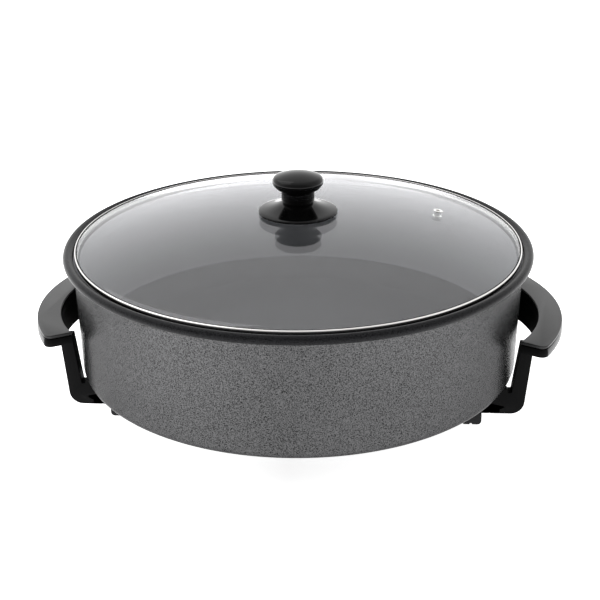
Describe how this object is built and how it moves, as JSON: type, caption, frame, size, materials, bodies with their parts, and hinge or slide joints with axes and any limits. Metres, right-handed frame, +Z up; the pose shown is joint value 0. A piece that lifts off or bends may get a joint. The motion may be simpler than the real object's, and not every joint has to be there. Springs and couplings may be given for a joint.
{
  "type": "electric frying pan",
  "caption": "Round deep electric frying pan with straight painted walls, two side grips on legs, an element and plug inlet underneath, and a lift-off domed glass lid with a knob.",
  "frame": {"origin": "on the table, under the middle of the pan", "axes": "X runs through the two grips, with the plug inlet on the +X side; +Z is up; the pictured side faces -Y"},
  "size_m": [0.48, 0.4198, 0.2118],
  "materials": {
    "pan_paint": "hammered grey paint",
    "cast_aluminium": "as cast",
    "element_sheath": "oxidised",
    "bead_ceramic": "matt",
    "plated_steel": "zinc plated",
    "sheet_steel": "plain",
    "contact_brass": "plain",
    "leg_plastic": "satin black",
    "grip_plastic": "satin black",
    "pad_rubber": "matt",
    "lid_glass": "clear tempered",
    "bright_steel": "polished stainless",
    "knob_plastic": "gloss black",
    "gasket_rubber": "silicone"
  },
  "bodies": {
    "pan": {"pan_shell": "pan_paint", "heat_spreader": "cast_aluminium", "heating_element": "element_sheath", "element_beads": "bead_ceramic", "contact_pins": "plated_steel", "probe_sleeve": "cast_aluminium", "inlet_shroud": "sheet_steel", "earth_clip": "contact_brass", "inlet_studs": "plated_steel", "inlet_nuts": "plated_steel", "leg_studs": "plated_steel", "leg_nuts": "plated_steel", "right_front_leg": "leg_plastic", "right_rear_leg": "leg_plastic", "left_front_leg": "leg_plastic", "left_rear_leg": "leg_plastic", "right_front_pad": "pad_rubber", "right_rear_pad": "pad_rubber", "left_front_pad": "pad_rubber", "left_rear_pad": "pad_rubber", "right_grip_body": "leg_plastic", "left_grip_body": "leg_plastic", "right_grip_cover": "grip_plastic", "left_grip_cover": "grip_plastic", "grip_screws": "plated_steel", "cover_screws": "plated_steel"},
    "lid": {"lid_glass": "lid_glass", "lid_band": "bright_steel", "vent_eyelet": "bright_steel", "knob_cap": "knob_plastic", "knob_skirt": "knob_plastic", "knob_insert": "contact_brass", "knob_screw": "bright_steel", "knob_washer": "bright_steel", "upper_knob_gasket": "gasket_rubber", "lower_knob_gasket": "gasket_rubber"}
  },
  "joints": [
    {"name": "lid_lift", "type": "slide", "parent": "pan", "child": "lid", "axis": [0, 0, 1], "range_m": [0, 0.13]}
  ]
}
